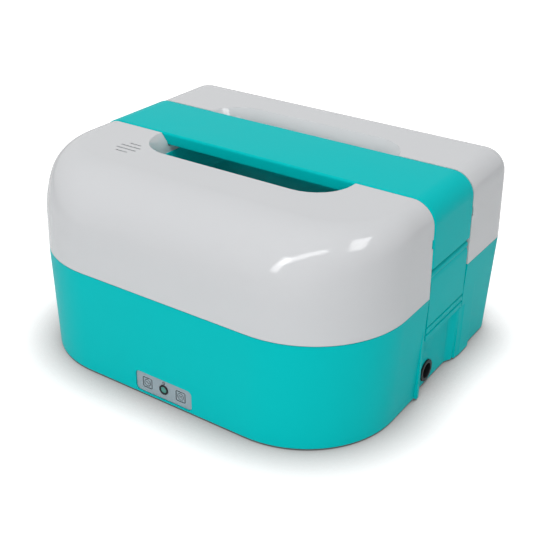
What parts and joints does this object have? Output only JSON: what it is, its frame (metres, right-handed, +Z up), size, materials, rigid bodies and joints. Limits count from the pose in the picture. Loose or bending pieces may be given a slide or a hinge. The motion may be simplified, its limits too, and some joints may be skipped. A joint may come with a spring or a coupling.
{
  "type": "electric lunch box",
  "caption": "Heated lunch box with a lift-off lid, a carrying handle across its top, side latches and nested food containers.",
  "frame": {"origin": "centre of the footprint, on the surface the rubber feet stand on", "axes": "+X to the right seen from the front, +Y to the back, +Z up"},
  "size_m": [0.235, 0.197, 0.1223],
  "materials": {
    "teal_plastic": "satin moulded polypropylene",
    "lid_plastic": "glossy moulded polypropylene",
    "tub_plastic": "moulded polypropylene",
    "natural_plastic": "translucent moulded polypropylene",
    "panel_plastic": "fine textured plastic",
    "black_plastic": "moulded plastic",
    "lamp_lens": "clear tinted plastic",
    "board": "glass fibre board",
    "wire_cover": "silicone rubber",
    "fuse_sleeve": "woven glass sleeve",
    "silicone": "silicone rubber",
    "foot_rubber": "rubber",
    "bare_metal": "plain",
    "steel": "plain"
  },
  "bodies": {
    "base": {"base_shell": "teal_plastic", "bottom_cover": "teal_plastic", "bottom_screws": "steel", "rubber_feet": "foot_rubber", "heating_tub": "tub_plastic", "plate_seal": "silicone", "heating_plate": "bare_metal", "ptc_heater": "bare_metal", "heater_clamp": "steel", "clamp_screws": "steel", "thermostat": "black_plastic", "thermal_fuse": "fuse_sleeve", "heat_shield": "bare_metal", "wiring": "wire_cover", "inlet_socket": "black_plastic", "inlet_pins": "steel", "inlet_nut": "black_plastic", "control_panel": "panel_plastic", "lamp_bezel": "black_plastic", "lamp_lens": "lamp_lens", "lamp_board": "board"},
    "food_container": {"food_container": "natural_plastic"},
    "side_container": {"side_container": "natural_plastic"},
    "side_lid": {"side_lid": "teal_plastic", "side_lid_seal": "silicone"},
    "lid": {"lid_shell": "lid_plastic", "lid_liner": "natural_plastic", "lid_gasket": "silicone", "vent_valve": "silicone", "finger_well": "teal_plastic", "lid_screws": "steel", "carry_handle": "teal_plastic", "latch_pin_left": "steel", "latch_pin_right": "steel"},
    "latch_left": {"latch_left": "teal_plastic"},
    "latch_right": {"latch_right": "teal_plastic"}
  },
  "joints": [
    {"name": "food_container_lift", "type": "slide", "parent": "base", "child": "food_container", "axis": [0, 0, 1], "range_m": [0, 0.06]},
    {"name": "side_container_lift", "type": "slide", "parent": "food_container", "child": "side_container", "axis": [0, 0, 1], "range_m": [0, 0.06]},
    {"name": "side_lid_lift", "type": "slide", "parent": "side_container", "child": "side_lid", "axis": [0, 0, 1], "range_m": [0, 0.03]},
    {"name": "lid_lift", "type": "slide", "parent": "side_lid", "child": "lid", "axis": [0, 0, 1], "range_m": [0, 0.1]},
    {"name": "latch_left_swing", "type": "hinge", "parent": "lid", "child": "latch_left", "pos_m": [-0.114, 0.0142, 0.0793], "axis": [0, 1, 0], "range_deg": [0, 95]},
    {"name": "latch_right_swing", "type": "hinge", "parent": "lid", "child": "latch_right", "pos_m": [0.114, 0.0142, 0.0793], "axis": [0, -1, 0], "range_deg": [0, 95]}
  ]
}
